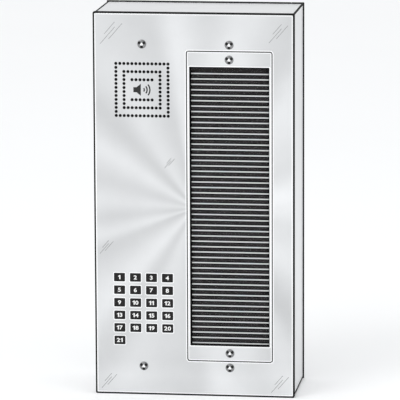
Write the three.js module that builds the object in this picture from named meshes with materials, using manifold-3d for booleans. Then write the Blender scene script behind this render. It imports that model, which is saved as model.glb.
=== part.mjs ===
// Door intercom panel: a surface-mounted steel box with a stainless front panel that carries a
// speaker grille, twenty-one call buttons and a name directory under a clear window.
// Units are millimetres. +Z is up, +Y points into the wall, and the front faces -Y.
// The origin is the centre of the wall face.
import * as THREE from "three";
import { mergeVertices } from "three/addons/utils/BufferGeometryUtils.js";
import Module from "manifold-3d";

const wasm = await Module();
wasm.setup();

// ---------------------------------------------------------------- driving dimensions

const PANEL_W = 234;
const PANEL_H = 453;
const DEPTH = 110; // wall face to the front of the panel
const GAP = 0.1; // between two pieces that meet face to face
const FIT = 0.3; // between a piece and the opening it stands in
const FRAME_GAP = 0.9; // between the directory frame and the panel around it

const PLATE_T = 3;
const PANEL_CORNER_R = 1.2;
const SHEET_T = 1.5;
const BOX_CORNER_R = 2;
const FLANGE_W = 12;
const SEAL_PROUD = 1.5; // how far both seals stand out past the box, all round
const LIP_SETBACK = 0.4; // from the front of the panel to the front of its seal's lip
const WALL_SEAL_T = 2;
const WALL_SEAL_W = 14;
const PANEL_SEAL_T = 1.8;

// Planes across the depth, from the front to the wall.
const PANEL_FRONT = -DEPTH;
const PANEL_REAR = PANEL_FRONT + PLATE_T;
const BOX_FRONT = PANEL_REAR + PANEL_SEAL_T + 2 * GAP;
const BOX_REAR = -(WALL_SEAL_T + GAP);

// The screws and the directory share a centre line a little below the panel's own.
const LAYOUT_Z = -1.5;
const SCREW_COLUMNS = { left: -60.6, right: 42 };
const SCREW_ROW_Z = 191.9; // above and below the layout centre line
const SCREW_R = 2.4;
const SCREW_HOLE_R = 2.7;
const SCREW_HEAD_R = 5.2;
const SCREW_HEAD_H = 2;
const SCREW_LENGTH = 16;

const SPEAKER = { x: -60.6, z: 136.5 };
const GRILLE_PITCH = 4.73;
const GRILLE_HOLE_R = 1.6;
const SPEAKER_FLANGE = 86;
const SPEAKER_STUD = 37; // each way from the speaker's centre
const SPEAKER_STUD_R = 2;

const KEY_COUNT = 21;
const KEY_COLUMNS = 4;
const KEY_PITCH = { x: 19.05, z: 15.15 };
const KEY_FIRST = { x: -89.1, z: -87.1 };
const KEY = { w: 12.3, h: 9.4, proud: 1.5 };
const KEY_HOLE = { w: 12.7, h: 9.8 };
const KEY_LIP = { w: 14.7, h: 11.8, t: 1 };
const KEY_PLUNGER = 4.4;
const BOARD = { w: 84, h: 100, x: -60.5, z: -125 };
const BOARD_STUD = { x: 38.6, z: 46.6, r: 1.5 };

const DIRECTORY = { x: 42, z: LAYOUT_Z, w: 99.8, h: 367.8, corner: 2 };
const WINDOW = { w: 94, h: 331.8 };
const DIRECTORY_SCREW_Z = 174.5;
const RAIL_COUNT = 51;
const RAIL_PITCH = 6.42;
const TOP_NAME_H = 8.7; // from the window's upper edge to the middle of the first rail
const RAIL = { w: 91.2, h: 1.4 };

const CABLE_ENTRY = { x: -60, z: 30, r: 11 };
const WALL_HOLE = { x: 92, z: 195, r: 3.25 };

const BRACKET_H = 18;
const BRACKET_T = 2;

// ---------------------------------------------------------------- shapes and solids

// Shapes are drawn on the panel's plane as (x, z).
function rectangle(x, z, w, h, corner = 0) {
  const shape = new THREE.Shape();
  if (!corner) {
    shape.moveTo(x - w / 2, z - h / 2);
    shape.lineTo(x + w / 2, z - h / 2);
    shape.lineTo(x + w / 2, z + h / 2);
    shape.lineTo(x - w / 2, z + h / 2);
    shape.closePath();
    return shape;
  }
  const centres = [
    [x + w / 2 - corner, z - h / 2 + corner, -Math.PI / 2],
    [x + w / 2 - corner, z + h / 2 - corner, 0],
    [x - w / 2 + corner, z + h / 2 - corner, Math.PI / 2],
    [x - w / 2 + corner, z - h / 2 + corner, Math.PI],
  ];
  shape.moveTo(x + w / 2 - corner, z - h / 2);
  for (const [cx, cz, start] of centres)
    shape.absarc(cx, cz, corner, start, start + Math.PI / 2);
  shape.closePath();
  return shape;
}

function polygon(x, z, r, sides, turn = 0) {
  const points = Array.from({ length: sides }, (_, i) => {
    const angle = turn + (2 * Math.PI * i) / sides;
    return new THREE.Vector2(x + r * Math.cos(angle), z + r * Math.sin(angle));
  });
  return new THREE.Shape(points);
}

const ROUND_HOLE_SIDES = 8;
const roundHole = (x, z, r) => polygon(x, z, r, ROUND_HOLE_SIDES, Math.PI / 8);

// Turns a drawing's (x, z) into the panel's plane, exactly, with its thickness towards the front.
const TO_PANEL_PLANE = new THREE.Matrix4().set(1, 0, 0, 0, 0, 0, -1, 0, 0, 1, 0, 0, 0, 0, 0, 1);

const CORNER_SEGMENTS = 2;

// A flat piece between two planes across the depth, cut right through by its holes.
function slab(shape, front, rear, holes = []) {
  const geometry = new THREE.ExtrudeGeometry(shape, {
    depth: rear - front,
    bevelEnabled: false,
    curveSegments: CORNER_SEGMENTS,
  });
  const blank = solid(geometry.applyMatrix4(TO_PANEL_PLANE).translate(0, rear, 0));
  return cut(blank, ...holes.map((hole) => slab(hole, front - 1, rear + 1)));
}

// A piece turned about the depth axis, from a profile of (radius, y) points.
function turned(profile, sides) {
  const points = profile.map(([r, y]) => new THREE.Vector2(r, y));
  return new THREE.LatheGeometry(points, sides);
}

function rod(x, z, r, front, rear, sides = 10, rearR = r) {
  const geometry = new THREE.CylinderGeometry(rearR, r, rear - front, sides);
  return solid(geometry.translate(x, (front + rear) / 2, z));
}

// A round tool that cuts a hole right through the depth of the object.
function bore(x, z, r, sides = ROUND_HOLE_SIDES) {
  return rod(x, z, r, PANEL_FRONT - 5, 5, sides);
}

function solid(geometry) {
  const bare = geometry.index ? geometry.toNonIndexed() : geometry.clone();
  bare.deleteAttribute("normal");
  bare.deleteAttribute("uv");
  const merged = mergeVertices(bare, 1e-4);
  return new wasm.Manifold(
    new wasm.Mesh({
      numProp: 3,
      vertProperties: new Float32Array(merged.attributes.position.array),
      triVerts: new Uint32Array(merged.index.array),
    }),
  );
}

function geometryOf(made) {
  const mesh = made.getMesh();
  const geometry = new THREE.BufferGeometry();
  geometry.setAttribute("position", new THREE.BufferAttribute(mesh.vertProperties, 3));
  geometry.setIndex(new THREE.BufferAttribute(mesh.triVerts, 1));
  geometry.computeVertexNormals();
  return geometry;
}

const joined = (first, ...others) => others.reduce((all, next) => all.add(next), first);
const cut = (first, ...others) => others.reduce((left, next) => left.subtract(next), first);

// ---------------------------------------------------------------- finishes

const finish = (color, roughness, metalness) => () =>
  new THREE.MeshStandardMaterial({ color, roughness, metalness });

const brushedSteel = finish(0xe2e3e5, 0.35, 1);
const zincSteel = finish(0xb9bcc0, 0.45, 1);
const aluminium = finish(0xc8c8c8, 0.4, 1);
const blackRubber = finish(0x161616, 0.85, 0);
const blackPlastic = finish(0x1f1e1f, 0.45, 0);
const clearPlastic = finish(0xf2f6f8, 0.08, 0);
const greySilicone = finish(0x8f9496, 0.7, 0);
const greenBoard = finish(0x1f5a3a, 0.5, 0);
const greyPaper = finish(0x33312f, 0.9, 0);
const greenTerminal = finish(0x2a7a52, 0.5, 0);
const greyLead = finish(0x6f7376, 0.6, 0);

const panel = new THREE.Group();

function add(group, name, shape, material, x = 0, y = 0, z = 0) {
  const geometry = shape.isBufferGeometry ? shape : geometryOf(shape);
  const mesh = new THREE.Mesh(geometry, material());
  mesh.name = name;
  mesh.position.set(x, y, z);
  group.add(mesh);
  return mesh;
}

function addGroup() {
  const group = new THREE.Group();
  panel.add(group);
  return group;
}

// ---------------------------------------------------------------- fasteners

const HEAD_RECESS = { r: 1.8, circle: 3.15, depth: 1.5, count: 3 };

// A tamper-proof screw: a low cone head with three round recesses, its underside at y = 0.
function tamperProofScrew() {
  const profile = [
    [0, -SCREW_HEAD_H],
    [3.6, -SCREW_HEAD_H],
    [4.6, -SCREW_HEAD_H + 0.4],
    [SCREW_HEAD_R, -0.6],
    [SCREW_HEAD_R, -GAP],
    [SCREW_R, -GAP],
    [SCREW_R, SCREW_LENGTH - 0.8],
    [SCREW_R - 0.6, SCREW_LENGTH],
    [0, SCREW_LENGTH],
  ];
  const recesses = Array.from({ length: HEAD_RECESS.count }, (_, i) => {
    const angle = -Math.PI / 2 + (2 * Math.PI * i) / HEAD_RECESS.count;
    const x = HEAD_RECESS.circle * Math.cos(angle);
    const z = HEAD_RECESS.circle * Math.sin(angle);
    return rod(x, z, HEAD_RECESS.r, -SCREW_HEAD_H - 1, -SCREW_HEAD_H + HEAD_RECESS.depth, 8);
  });
  return geometryOf(cut(solid(turned(profile, 16)), ...recesses));
}

// A hexagon nut whose front face is at y = 0.
function hexNut(studR, acrossFlats, height) {
  const corner = acrossFlats / Math.sqrt(3);
  const outline = polygon(0, 0, corner, 6, Math.PI / 6);
  return geometryOf(slab(outline, 0, height, [roundHole(0, 0, studR + FIT)]));
}

// ---------------------------------------------------------------- box, seals and brackets

function backBox() {
  const outer = slab(rectangle(0, 0, PANEL_W, PANEL_H, BOX_CORNER_R), BOX_FRONT, BOX_REAR);
  const inside = rectangle(0, 0, PANEL_W - 2 * SHEET_T, PANEL_H - 2 * SHEET_T);
  const mouth = rectangle(0, 0, PANEL_W - 2 * FLANGE_W, PANEL_H - 2 * FLANGE_W);
  const wallHoles = [-1, 1].flatMap((sx) =>
    [-1, 1].map((sz) => bore(sx * WALL_HOLE.x, sz * WALL_HOLE.z, WALL_HOLE.r, 12)),
  );
  return cut(
    outer,
    slab(inside, BOX_FRONT + SHEET_T, BOX_REAR - SHEET_T),
    slab(mouth, BOX_FRONT - 1, BOX_FRONT + SHEET_T + 1),
    bore(CABLE_ENTRY.x, CABLE_ENTRY.z, CABLE_ENTRY.r, 16),
    ...wallHoles,
  );
}

const sealOutline = () =>
  rectangle(0, 0, PANEL_W + 2 * SEAL_PROUD, PANEL_H + 2 * SEAL_PROUD, BOX_CORNER_R);
// Closed-cell strip between the box and the wall, in lengths that butt at the top corners. The
// bottom stays open so that water can drain, and a pad across the middle keeps the box steady.
const WALL_STRIP_W = WALL_SEAL_W + SEAL_PROUD;
const WALL_PAD_W = 160;

function wallSealUpright(side) {
  const rest = rectangle(-side * WALL_STRIP_W, 0, PANEL_W + 2 * SEAL_PROUD, PANEL_H + 4 * SEAL_PROUD);
  return cut(slab(sealOutline(), -WALL_SEAL_T, 0), slab(rest, -WALL_SEAL_T - 1, 1));
}

function wallSealLevel(width, height) {
  return slab(rectangle(0, 0, width, height), -WALL_SEAL_T, 0);
}

// An L section: its foot lies between the panel and the box, its lip stands round the panel's edge.
function panelSeal() {
  const opening = rectangle(0, 0, PANEL_W - 2 * FLANGE_W, PANEL_H - 2 * FLANGE_W);
  const seat = rectangle(0, 0, PANEL_W + 2 * GAP, PANEL_H + 2 * GAP, PANEL_CORNER_R);
  const blank = slab(sealOutline(), PANEL_FRONT + LIP_SETBACK, BOX_FRONT - GAP, [opening]);
  return cut(blank, slab(seat, PANEL_FRONT - 1, PANEL_REAR + GAP));
}

// A bar across the inside of the box, bent back along both side walls, with two threaded bosses.
const BRACKET_FRONT = BOX_FRONT + SHEET_T + 2 * GAP;
const BRACKET_LEG = 18;
const BOSS_R = 4.4;
const BOSS_LENGTH = 8;

function bracket() {
  const half = PANEL_W / 2 - SHEET_T - GAP;
  const rear = BRACKET_FRONT + BRACKET_LEG;
  const web = BRACKET_FRONT + BRACKET_T;
  const outline = new THREE.Shape([
    new THREE.Vector2(-half, BRACKET_FRONT),
    new THREE.Vector2(half, BRACKET_FRONT),
    new THREE.Vector2(half, rear),
    new THREE.Vector2(half - BRACKET_T, rear),
    new THREE.Vector2(half - BRACKET_T, web),
    new THREE.Vector2(-half + BRACKET_T, web),
    new THREE.Vector2(-half + BRACKET_T, rear),
    new THREE.Vector2(-half, rear),
  ]);
  const bar = new THREE.ExtrudeGeometry(outline, { depth: BRACKET_H, bevelEnabled: false });
  const columns = Object.values(SCREW_COLUMNS);
  const bosses = columns.map((x) => rod(x, 0, BOSS_R, web - 1, web + BOSS_LENGTH, 12));
  const threads = columns.map((x) => bore(x, 0, SCREW_HOLE_R));
  return cut(joined(solid(bar.translate(0, 0, -BRACKET_H / 2)), ...bosses), ...threads);
}

// A rubber bush in the cable entry, its groove over the edge of the sheet.
function cableGrommet() {
  const grooveFront = BOX_REAR - SHEET_T - FIT / 2;
  const grooveRear = BOX_REAR + FIT / 2;
  const boreR = 7;
  const profile = [
    [boreR, -6],
    [12, -6],
    [13.5, grooveFront - 1],
    [13.5, grooveFront],
    [CABLE_ENTRY.r - FIT, grooveFront],
    [CABLE_ENTRY.r - FIT, grooveRear],
    [14, grooveRear],
    [13, -0.4],
    [boreR, -0.4],
    [boreR, -6],
  ];
  return turned(profile, 16);
}

const housing = addGroup();
add(housing, "back_box", backBox(), brushedSteel);
add(housing, "wall_seal_left", wallSealUpright(-1), blackRubber);
add(housing, "wall_seal_right", wallSealUpright(1), blackRubber);
const wallSealTop = wallSealLevel(PANEL_W - 2 * WALL_SEAL_W - 2 * FIT, WALL_STRIP_W);
add(housing, "wall_seal_top", wallSealTop, blackRubber, 0, 0, PANEL_H / 2 + SEAL_PROUD - WALL_STRIP_W / 2);
add(housing, "wall_seal_pad", wallSealLevel(WALL_PAD_W, WALL_SEAL_W), blackRubber);
add(housing, "panel_seal", panelSeal(), blackRubber);
add(housing, "cable_grommet", cableGrommet(), blackRubber, CABLE_ENTRY.x, 0, CABLE_ENTRY.z);
const bracketShape = geometryOf(bracket());
for (const [end, side] of [["upper", 1], ["lower", -1]])
  add(housing, `${end}_bracket`, bracketShape, zincSteel, 0, 0, LAYOUT_Z + side * SCREW_ROW_Z);

// ---------------------------------------------------------------- front panel

// Three square rings of holes about the speaker. The innermost keeps only its top and bottom rows.
const GRILLE_RINGS = [
  { side: 14, sides: true },
  { side: 10, sides: true },
  { side: 6, sides: false },
];

function grilleHoles() {
  const holes = [];
  for (const { side, sides } of GRILLE_RINGS) {
    const reach = ((side - 1) * GRILLE_PITCH) / 2;
    for (let row = 0; row < side; row += 1)
      for (let column = 0; column < side; column += 1) {
        const onTopOrBottom = row === 0 || row === side - 1;
        const onASide = column === 0 || column === side - 1;
        if (!onTopOrBottom && !(sides && onASide)) continue;
        const x = SPEAKER.x - reach + column * GRILLE_PITCH;
        const z = SPEAKER.z - reach + row * GRILLE_PITCH;
        holes.push(roundHole(x, z, GRILLE_HOLE_R));
      }
  }
  return holes;
}

const keyCentres = Array.from({ length: KEY_COUNT }, (_, i) => ({
  x: KEY_FIRST.x + (i % KEY_COLUMNS) * KEY_PITCH.x,
  z: KEY_FIRST.z - Math.floor(i / KEY_COLUMNS) * KEY_PITCH.z,
}));

const panelScrewCentres = Object.entries(SCREW_COLUMNS).flatMap(([column, x]) =>
  [["top", 1], ["bottom", -1]].map(([row, side]) => ({
    name: `${row}_${column}`,
    x,
    z: LAYOUT_Z + side * SCREW_ROW_Z,
  })),
);

const fourCorners = (centre, dx, dz) =>
  [[-1, 1], [1, 1], [-1, -1], [1, -1]].map(([sx, sz]) => ({
    x: centre.x + sx * dx,
    z: centre.z + sz * dz,
  }));

const speakerStuds = fourCorners(SPEAKER, SPEAKER_STUD, SPEAKER_STUD);
const boardStuds = fourCorners(BOARD, BOARD_STUD.x, BOARD_STUD.z);
const SPEAKER_STUD_END = PANEL_REAR + 9.5;
const BOARD_STUD_END = PANEL_REAR + 14.5;

function frontPanel() {
  const { x, z, w, h, corner } = DIRECTORY;
  const opening = rectangle(x, z, w + 2 * FRAME_GAP, h + 2 * FRAME_GAP, corner + FRAME_GAP);
  const keyHoles = keyCentres.map((key) => rectangle(key.x, key.z, KEY_HOLE.w, KEY_HOLE.h));
  const screwHoles = panelScrewCentres.map((screw) => roundHole(screw.x, screw.z, SCREW_HOLE_R));
  const outline = rectangle(0, 0, PANEL_W, PANEL_H, PANEL_CORNER_R);
  const holes = [opening, ...keyHoles, ...screwHoles, ...grilleHoles()];
  const studs = [
    ...speakerStuds.map((s) => rod(s.x, s.z, SPEAKER_STUD_R, PANEL_REAR - 1, SPEAKER_STUD_END, 8)),
    ...boardStuds.map((s) => rod(s.x, s.z, BOARD_STUD.r, PANEL_REAR - 1, BOARD_STUD_END, 8)),
  ];
  return joined(slab(outline, PANEL_FRONT, PANEL_REAR, holes), ...studs);
}

const face = addGroup();
add(face, "front_panel", frontPanel(), brushedSteel);
const screwShape = tamperProofScrew();
for (const { name, x, z } of panelScrewCentres)
  add(face, `panel_screw_${name}`, screwShape, brushedSteel, x, PANEL_FRONT, z);

// ---------------------------------------------------------------- name directory

const LENS_FRONT = PANEL_REAR + 2 * GAP;
const LENS = { w: 96.6, h: 337, t: 3 };
const TRAY = { w: 97.2, h: 338.6, wall: 1.2, flangeX: 7, flangeZ: 4 };
const TRAY_FRONT = PANEL_REAR + GAP;
const RAIL_FRONT = LENS_FRONT + LENS.t + 2 * GAP;
const STRIP = { front: RAIL_FRONT + 0.5, t: 1.8, inset: 0.15 };
const HOLDER_FRONT = STRIP.front + STRIP.t + 2 * GAP;
const HOLDER_T = 2;
const TRAY_FLOOR = HOLDER_FRONT + HOLDER_T + 2 * GAP;

// Heights of the rails between the names, from the one under the top name downwards.
const railHeights = Array.from(
  { length: RAIL_COUNT },
  (_, i) => DIRECTORY.z + WINDOW.h / 2 - TOP_NAME_H - i * RAIL_PITCH,
);

const directoryScrewCentres = [["top", 1], ["bottom", -1]].map(([end, side]) => ({
  name: end,
  x: DIRECTORY.x,
  z: DIRECTORY.z + side * DIRECTORY_SCREW_Z,
}));

function directoryFrame() {
  const { x, z, w, h, corner } = DIRECTORY;
  const screwHoles = directoryScrewCentres.map((s) => roundHole(s.x, s.z, SCREW_HOLE_R));
  const holes = [rectangle(x, z, WINDOW.w, WINDOW.h), ...screwHoles];
  return slab(rectangle(x, z, w, h, corner), PANEL_FRONT, PANEL_REAR, holes);
}

// A shallow pan welded behind the panel. Its rim carries the frame, its bosses take the screws.
function directoryTray() {
  const { x, z } = DIRECTORY;
  const { wall, flangeX, flangeZ } = TRAY;
  const flange = rectangle(x, z, DIRECTORY.w + 2 * flangeX, DIRECTORY.h + 2 * flangeZ);
  const pan = rectangle(x, z, TRAY.w + 2 * wall, TRAY.h + 2 * wall);
  const bossEnd = TRAY_FRONT + wall + BOSS_LENGTH;
  const bosses = directoryScrewCentres.map((s) => rod(s.x, s.z, BOSS_R, TRAY_FRONT, bossEnd, 12));
  const threads = directoryScrewCentres.map((s) => bore(s.x, s.z, SCREW_HOLE_R));
  return cut(
    joined(
      slab(flange, TRAY_FRONT, TRAY_FRONT + wall),
      slab(pan, TRAY_FRONT, TRAY_FLOOR + wall),
      ...bosses,
    ),
    slab(rectangle(x, z, TRAY.w, TRAY.h), TRAY_FRONT - 1, TRAY_FLOOR),
    ...threads,
  );
}

const heldInTray = rectangle(DIRECTORY.x, DIRECTORY.z, TRAY.w - 2 * FIT, TRAY.h - 2 * FIT);

function stripHolder() {
  const rails = railHeights.map((z) =>
    slab(rectangle(DIRECTORY.x, z, RAIL.w, RAIL.h), RAIL_FRONT, HOLDER_FRONT + 0.5),
  );
  return joined(slab(heldInTray, HOLDER_FRONT, HOLDER_FRONT + HOLDER_T), ...rails);
}

// The black name blanks and the channels at their ends, with a slot for each rail.
function nameStrips() {
  const { inset } = STRIP;
  const slots = railHeights.map((z) =>
    rectangle(DIRECTORY.x, z, RAIL.w + 2 * inset, RAIL.h + 2 * inset),
  );
  return slab(heldInTray, STRIP.front, STRIP.front + STRIP.t, slots);
}

const directory = addGroup();
add(directory, "directory_frame", directoryFrame(), brushedSteel);
const lensOutline = rectangle(DIRECTORY.x, DIRECTORY.z, LENS.w, LENS.h);
const lens = slab(lensOutline, LENS_FRONT, LENS_FRONT + LENS.t);
add(directory, "directory_window", lens, clearPlastic);
add(directory, "directory_tray", directoryTray(), zincSteel);
add(directory, "strip_holder", stripHolder(), aluminium);
add(directory, "name_strips", nameStrips(), blackPlastic);
for (const { name, x, z } of directoryScrewCentres)
  add(directory, `directory_screw_${name}`, screwShape, brushedSteel, x, PANEL_FRONT, z);

// ---------------------------------------------------------------- speaker

// Within the speaker group, x and z are measured from the speaker's own axis.
const SCREEN_T = 0.5;
const FOAM_FRONT = PANEL_REAR + GAP + SCREEN_T + GAP;
const FOAM_T = 2;
const BASKET_FRONT = FOAM_FRONT + FOAM_T + GAP;
const BASKET_T = 1.5;
const BASKET_REAR = -80;
const BASKET_OPEN_R = 37;
const BASKET = {
  wall: 1.5,
  shoulder: 3,
  rearR: 20,
  boreR: 12,
  windowReach: 30,
  windowLength: 22,
  windowWidth: 16,
};
const LEAD_TAB = { x: 24, z: -24, size: 12, rear: -93.2 };
const COIL = { inner: 9.6, outer: 10.3, rear: BASKET_REAR + 4 };
const CONE = { rimR: 33, rim: BASKET_FRONT + 0.8, neck: -88, paper: 0.6, capHeight: 5 };
const MAGNET = {
  r: 22.5,
  front: BASKET_REAR + GAP,
  length: 15,
  gapInner: 9,
  gapOuter: 11,
  gapDepth: 8,
  plateR: 18.5,
  plateT: 2.5,
};

const foamStuds = fourCorners({ x: 0, z: 0 }, SPEAKER_STUD, SPEAKER_STUD);
const speakerStudHoles = () => foamStuds.map((s) => roundHole(s.x, s.z, SPEAKER_STUD_R + FIT));
const speakerSquare = rectangle(0, 0, SPEAKER_FLANGE, SPEAKER_FLANGE);
const SPEAKER_SIDES = 24;

function speakerScreen() {
  const size = SPEAKER_FLANGE - 18;
  return slab(rectangle(0, 0, size, size, 3), PANEL_REAR + GAP, PANEL_REAR + GAP + SCREEN_T);
}

function speakerFoam() {
  const holes = [polygon(0, 0, BASKET_OPEN_R, SPEAKER_SIDES), ...speakerStudHoles()];
  return slab(speakerSquare, FOAM_FRONT, FOAM_FRONT + FOAM_T, holes);
}

// A square pressed flange, a conical body with four windows, and a tab for the lead.
function speakerBasket() {
  const flangeRear = BASKET_FRONT + BASKET_T;
  const { wall, shoulder, rearR, boreR, windowReach, windowLength, windowWidth } = BASKET;
  const body = [
    [BASKET_OPEN_R, BASKET_FRONT],
    [BASKET_OPEN_R + wall, BASKET_FRONT],
    [BASKET_OPEN_R + wall, flangeRear + shoulder + 1],
    [rearR, BASKET_REAR],
    [boreR, BASKET_REAR],
    [boreR, BASKET_REAR - wall],
    [rearR - wall, BASKET_REAR - wall],
    [BASKET_OPEN_R, flangeRear + shoulder],
    [BASKET_OPEN_R, BASKET_FRONT],
  ];
  const windows = [
    rectangle(windowReach, 0, windowLength, windowWidth),
    rectangle(-windowReach, 0, windowLength, windowWidth),
    rectangle(0, windowReach, windowWidth, windowLength),
    rectangle(0, -windowReach, windowWidth, windowLength),
  ].map((window) => slab(window, flangeRear + 2 * shoulder, BASKET_REAR - 2 * wall));
  const holes = [polygon(0, 0, BASKET_OPEN_R + wall / 2, SPEAKER_SIDES), ...speakerStudHoles()];
  const frame = joined(
    slab(speakerSquare, BASKET_FRONT, flangeRear, holes),
    solid(turned(body, SPEAKER_SIDES)),
  );
  const tabOutline = rectangle(LEAD_TAB.x, LEAD_TAB.z, LEAD_TAB.size, LEAD_TAB.size);
  const tab = slab(tabOutline, LEAD_TAB.rear - wall, LEAD_TAB.rear);
  return joined(cut(frame, ...windows), tab);
}

// The moving part: paper cone, dust cap and voice-coil tube in one.
function speakerCone() {
  const { rimR, rim, neck, paper, capHeight } = CONE;
  const profile = [
    [0, neck - capHeight],
    [COIL.outer / 2, neck - 0.85 * capHeight],
    [COIL.inner - 1, neck - 0.45 * capHeight],
    [COIL.outer, neck - 1],
    [rimR, rim],
    [rimR, rim + paper],
    [COIL.outer + paper, neck],
    [COIL.outer, neck + 1],
    [COIL.outer, COIL.rear],
    [COIL.inner, COIL.rear],
    [COIL.inner, neck],
    [COIL.inner - 1, neck - 0.25 * capHeight],
    [COIL.outer / 2, neck - 0.65 * capHeight],
    [0, neck - 0.8 * capHeight],
  ];
  return turned(profile, SPEAKER_SIDES);
}

function speakerMagnet() {
  const { r, front, length, gapInner, gapOuter, gapDepth, plateR, plateT } = MAGNET;
  const rear = front + length;
  const profile = [
    [0, front],
    [gapInner, front],
    [gapInner, front + gapDepth],
    [gapOuter, front + gapDepth],
    [gapOuter, front],
    [plateR, front],
    [plateR, front + plateT],
    [r, front + plateT],
    [r, rear - plateT],
    [plateR, rear - plateT],
    [plateR, rear],
    [0, rear],
  ];
  return turned(profile, SPEAKER_SIDES);
}

const speaker = addGroup();
speaker.position.set(SPEAKER.x, 0, SPEAKER.z);
add(speaker, "speaker_screen", speakerScreen(), greyPaper);
add(speaker, "speaker_foam_seal", speakerFoam(), blackRubber);
add(speaker, "speaker_basket", speakerBasket(), zincSteel);
add(speaker, "speaker_cone", speakerCone(), greyPaper);
add(speaker, "speaker_magnet", speakerMagnet(), zincSteel);
const speakerNut = hexNut(SPEAKER_STUD_R, 7, 3.2);
foamStuds.forEach((s, i) =>
  add(speaker, `speaker_nut_${i + 1}`, speakerNut, zincSteel, s.x, BASKET_FRONT + BASKET_T + GAP, s.z),
);

// ---------------------------------------------------------------- call buttons

const LIP_FRONT = PANEL_REAR + FIT;
const LIP_REAR = LIP_FRONT + KEY_LIP.t;
const PLUNGER_END = -101;
const GUIDE_REAR = -102;
const BOARD_FRONT = -98;
const BOARD_T = 1.6;
const MAT = { front: BOARD_FRONT - GAP - 1.1, domeTop: PLUNGER_END + 0.2, domeR: 4.4, topR: 2.8 };
const GUIDE_RIM = 3;

// Made about its own centre, in place across the depth.
function callButton() {
  const { w, h, proud } = KEY;
  return geometryOf(
    joined(
      slab(rectangle(0, 0, w, h), PANEL_FRONT - proud, LIP_REAR),
      slab(rectangle(0, 0, KEY_LIP.w, KEY_LIP.h), LIP_FRONT, LIP_REAR),
      slab(rectangle(0, 0, KEY_PLUNGER, KEY_PLUNGER), LIP_REAR - 0.5, PLUNGER_END),
    ),
  );
}

const boardOutline = rectangle(BOARD.x, BOARD.z, BOARD.w, BOARD.h);
const boardStudHoles = () => boardStuds.map((s) => roundHole(s.x, s.z, BOARD_STUD.r + FIT));

// A lattice that keeps each button square to the panel, with a rim that stands on the board.
function buttonGuide() {
  const pockets = keyCentres.map((key) =>
    rectangle(key.x, key.z, KEY_LIP.w + 2 * FIT, KEY_LIP.h + 2 * FIT),
  );
  const rimOpening = rectangle(
    BOARD.x,
    BOARD.z,
    BOARD.w - 2 * GUIDE_RIM,
    BOARD.h - 2 * GUIDE_RIM,
  );
  return joined(
    slab(boardOutline, PANEL_REAR + GAP, GUIDE_REAR, [...pockets, ...boardStudHoles()]),
    cut(
      slab(boardOutline, GUIDE_REAR - 0.5, BOARD_FRONT - GAP, [rimOpening]),
      ...boardStuds.map((s) => bore(s.x, s.z, BOARD_STUD.r + FIT)),
    ),
  );
}

// A silicone sheet with one hollow dome under each button, which pushes the button back out.
function springMat() {
  const rear = BOARD_FRONT - GAP;
  const sheet = slab(
    rectangle(BOARD.x, BOARD.z, BOARD.w - 2 * GUIDE_RIM - 2 * FIT, BOARD.h - 2 * GUIDE_RIM - 2 * FIT),
    MAT.front,
    rear,
  );
  const { domeR, topR, domeTop } = MAT;
  const domes = keyCentres.map((key) => rod(key.x, key.z, topR, domeTop, MAT.front + 0.2, 8, domeR));
  const hollows = keyCentres.map((key) =>
    rod(key.x, key.z, topR - 0.8, domeTop + 0.7, rear + 1, 8, domeR - 0.6),
  );
  const notches = boardStuds.map((s) => bore(s.x, s.z, BOARD_STUD.r + 2 * FIT));
  return cut(joined(sheet, ...domes), ...hollows, ...notches);
}

const TERMINAL = { w: 41, h: 12, t: 11, x: -60.5, z: -100, ways: 8, pitch: 5, portR: 1.6 };

// Screw terminals on the back of the board: wire ports on top, screw pockets behind.
function terminalBlock() {
  const { w, h, t, x, z, ways, pitch, portR } = TERMINAL;
  const front = BOARD_FRONT + BOARD_T + GAP;
  const first = x - ((ways - 1) * pitch) / 2;
  const pockets = Array.from({ length: ways }, (_, i) =>
    rod(first + i * pitch, z - 2, portR, front + t - 4, front + t + 1, 8),
  );
  const ports = Array.from({ length: ways }, (_, i) =>
    slab(rectangle(first + i * pitch, z + h / 2, 3, 6), front + 3, front + 6),
  );
  return cut(slab(rectangle(x, z, w, h), front, front + t), ...pockets, ...ports);
}

const keypad = addGroup();
const buttonShape = callButton();
keyCentres.forEach((key, i) => {
  const number = String(i + 1).padStart(2, "0");
  add(keypad, `button_${number}`, buttonShape, blackPlastic, key.x, 0, key.z);
});
add(keypad, "button_guide", buttonGuide(), blackPlastic);
add(keypad, "button_spring_mat", springMat(), greySilicone);
const board = slab(boardOutline, BOARD_FRONT, BOARD_FRONT + BOARD_T, boardStudHoles());
add(keypad, "button_board", board, greenBoard);
add(keypad, "terminal_block", terminalBlock(), greenTerminal);
const boardNut = hexNut(BOARD_STUD.r, 5.5, 2.4);
boardStuds.forEach((s, i) =>
  add(keypad, `board_nut_${i + 1}`, boardNut, zincSteel, s.x, BOARD_FRONT + BOARD_T + GAP, s.z),
);

// ---------------------------------------------------------------- speaker lead

// The lead runs from the basket's tab down behind the panel to the terminal block.
const LEAD_R = 1.2;
const LEAD_STEPS = 44;
const LEAD_ROUTE = [
  [SPEAKER.x + LEAD_TAB.x, LEAD_TAB.rear + FIT, SPEAKER.z + LEAD_TAB.z],
  [SPEAKER.x + LEAD_TAB.x, -88, SPEAKER.z + LEAD_TAB.z - 0.5],
  [SPEAKER.x + LEAD_TAB.x - 2, -82, SPEAKER.z + LEAD_TAB.z - 16],
  [-44, -82, 70],
  [-51, -81, 30],
  [-47, -82, -10],
  [-42, -84, -50],
  [-43, -88, -76],
  [-43, -91.8, -88],
  [-43, -91.8, -93.7],
];

function speakerLead() {
  const route = new THREE.CatmullRomCurve3(LEAD_ROUTE.map((p) => new THREE.Vector3(...p)));
  return new THREE.ExtrudeGeometry(polygon(0, 0, LEAD_R, 8), {
    steps: LEAD_STEPS,
    extrudePath: route,
    bevelEnabled: false,
  });
}

add(addGroup(), "speaker_lead", speakerLead(), greyLead);

export default panel;
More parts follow.
